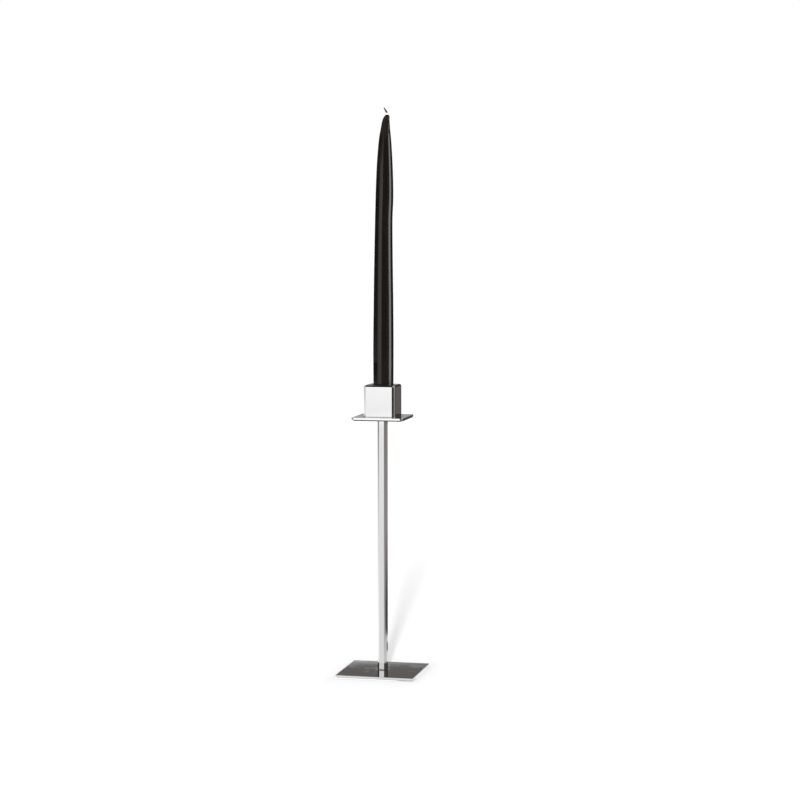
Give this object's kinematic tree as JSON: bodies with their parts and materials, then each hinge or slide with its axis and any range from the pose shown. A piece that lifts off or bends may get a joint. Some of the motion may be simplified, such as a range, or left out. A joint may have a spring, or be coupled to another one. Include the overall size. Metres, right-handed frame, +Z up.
{
  "type": "candlestick",
  "caption": "Tall polished candlestick with a square foot plate, slim square stem, square drip plate and cube-shaped cup, holding a black taper candle that lifts out.",
  "frame": {"origin": "centre of the felt pad's underside, on the table", "axes": "+Z up along the stem; the plates and the cup are square to X and Y, with -Y the front"},
  "size_m": [0.085, 0.085, 0.6106],
  "materials": {
    "polished_plate": "polished",
    "screw_steel": "satin",
    "plug_steel": "satin",
    "felt": "matte",
    "black_wax": "satin",
    "wick_cotton": "matte"
  },
  "bodies": {
    "holder": {"base_pad": "felt", "base_plate": "polished_plate", "base_screw": "screw_steel", "stem_tube": "polished_plate", "stem_lower_plug": "plug_steel", "stem_upper_plug": "plug_steel", "drip_plate": "polished_plate", "candle_cup": "polished_plate", "cup_washer": "screw_steel", "cup_screw": "screw_steel"},
    "taper": {"candle": "black_wax", "wick": "wick_cotton"}
  },
  "joints": [
    {"name": "candle_lift", "type": "slide", "parent": "holder", "child": "taper", "axis": [0, 0, 1], "range_m": [0, 0.045]}
  ]
}
